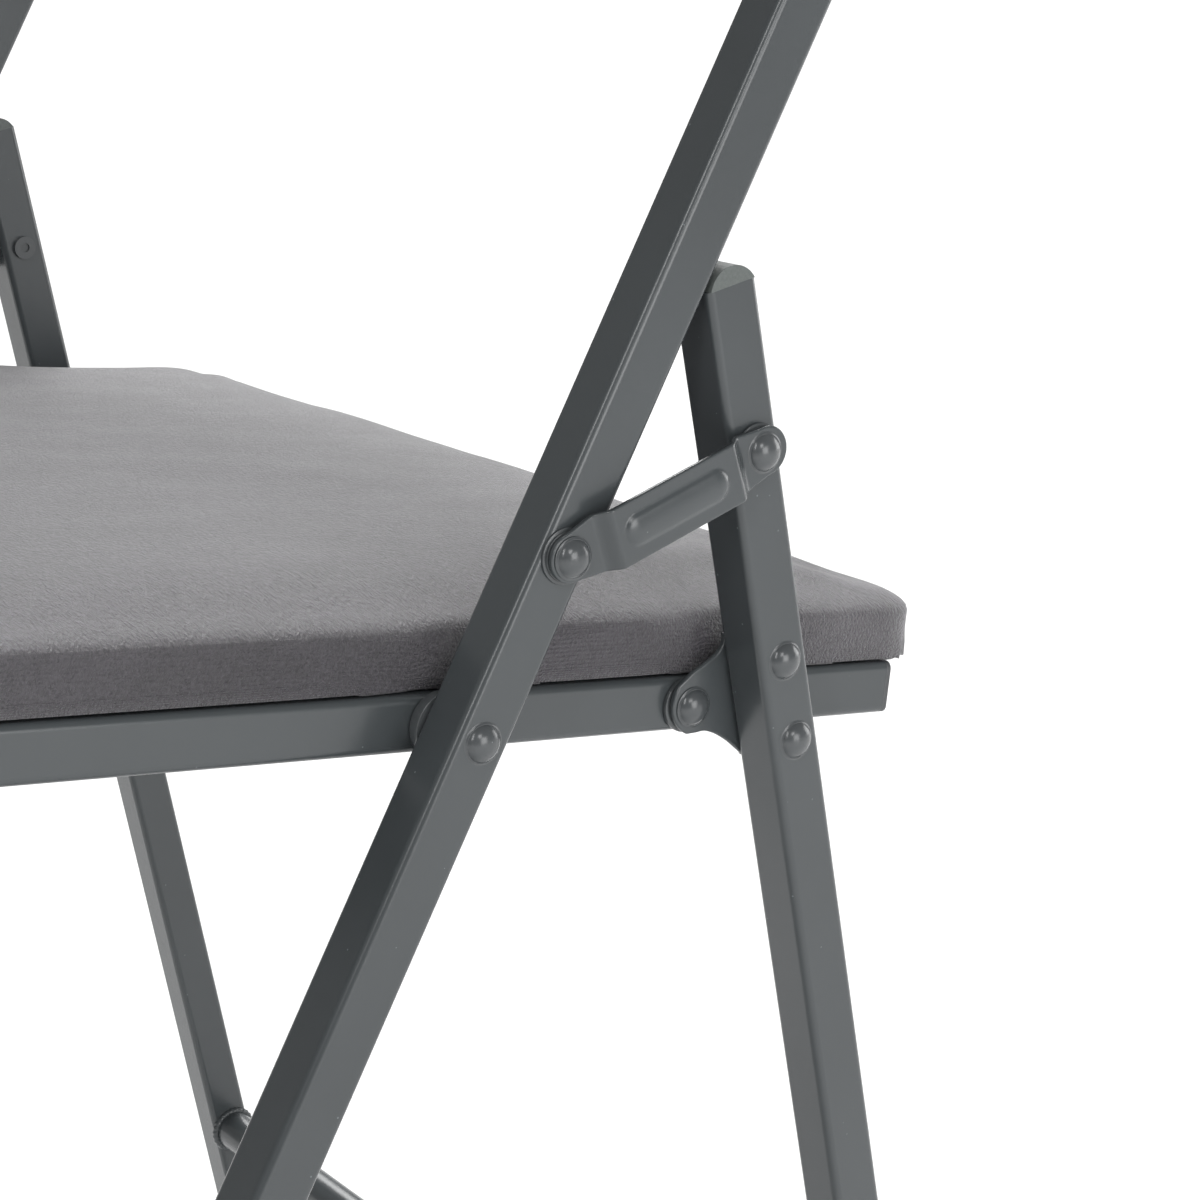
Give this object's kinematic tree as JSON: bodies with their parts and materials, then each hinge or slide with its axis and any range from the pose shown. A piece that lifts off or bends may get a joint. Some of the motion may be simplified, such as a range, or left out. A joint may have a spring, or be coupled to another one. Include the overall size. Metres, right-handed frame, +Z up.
{
  "type": "folding chair",
  "caption": "Folding chair with a square-tube steel frame, riveted fold links, and a velvet seat and back pad; seat and rear legs fold flat against the front frame.",
  "frame": {"origin": "on the floor, on the centre plane, midway between the foremost and rearmost points", "axes": "+Z up, the sitter faces -Y, +X is the sitter's left"},
  "size_m": [0.4594, 0.4714, 0.79],
  "materials": {
    "frame_steel": "satin powder coat with a faint orange-peel texture",
    "rivet_steel": "semi-gloss coat over domed rivets and washers",
    "screw_steel": "black zinc",
    "foot_plastic": "moulded matte",
    "plug_plastic": "moulded matte, slightly greener than the frame",
    "rail_plug_plastic": "moulded matte",
    "plywood": "raw plywood",
    "seat_velvet": "short-pile grey velvet",
    "back_velvet": "short-pile grey velvet",
    "lining_cloth": "black non-woven dust cover"
  },
  "bodies": {
    "front_frame": {"front_leg_left": "frame_steel", "front_leg_right": "frame_steel", "back_bow": "frame_steel", "front_stretcher": "frame_steel", "front_foot_left": "foot_plastic", "front_foot_right": "foot_plastic", "seat_pivot_rivets": "rivet_steel", "seat_pivot_washers": "rivet_steel", "link_front_rivets": "rivet_steel", "link_front_washers": "rivet_steel", "back_board": "plywood", "back_cushion": "back_velvet", "back_lining": "lining_cloth", "back_screws": "screw_steel"},
    "seat": {"seat_rail_left": "frame_steel", "seat_rail_right": "frame_steel", "seat_crossbar_front": "frame_steel", "seat_crossbar_rear": "frame_steel", "seat_rail_plugs": "rail_plug_plastic", "seat_board": "plywood", "seat_cushion": "seat_velvet", "seat_lining": "lining_cloth", "seat_screws": "screw_steel", "rear_pivot_rivets": "rivet_steel", "rear_pivot_washers": "rivet_steel"},
    "rear_legs": {"rear_leg_left": "frame_steel", "rear_leg_right": "frame_steel", "rear_stretcher": "frame_steel", "rear_foot_left": "foot_plastic", "rear_foot_right": "foot_plastic", "rear_leg_plug_left": "plug_plastic", "rear_leg_plug_right": "plug_plastic", "pivot_bracket_left": "frame_steel", "pivot_bracket_right": "frame_steel", "bracket_rivets": "rivet_steel", "link_rear_tails": "rivet_steel"},
    "link_left": {"fold_link_left": "frame_steel", "link_rear_rivet_left": "rivet_steel", "link_rear_washers_left": "rivet_steel"},
    "link_right": {"fold_link_right": "frame_steel", "link_rear_rivet_right": "rivet_steel", "link_rear_washers_right": "rivet_steel"}
  },
  "joints": [
    {"name": "seat_fold", "type": "hinge", "parent": "front_frame", "child": "seat", "pos_m": [0, 0.00335, 0.395], "axis": [-1, 0, 0], "range_deg": [0, 112.5]},
    {"name": "rear_leg_fold", "type": "hinge", "parent": "seat", "child": "rear_legs", "pos_m": [0, 0.08266, 0.38456], "axis": [-1, 0, 0], "range_deg": [-72, 0]},
    {"name": "link_left_swing", "type": "hinge", "parent": "front_frame", "child": "link_left", "pos_m": [0.2236, 0.02855, 0.43865], "axis": [-1, 0, 0], "range_deg": [0, 118.2]},
    {"name": "link_right_swing", "type": "hinge", "parent": "front_frame", "child": "link_right", "pos_m": [-0.2236, 0.02855, 0.43865], "axis": [-1, 0, 0], "range_deg": [0, 118.2]}
  ],
  "couplings": [
    {"joint": "rear_leg_fold", "follows": "seat_fold", "ratio": -0.63977},
    {"joint": "link_left_swing", "follows": "seat_fold", "ratio": 1.0505},
    {"joint": "link_right_swing", "follows": "seat_fold", "ratio": 1.0505}
  ]
}
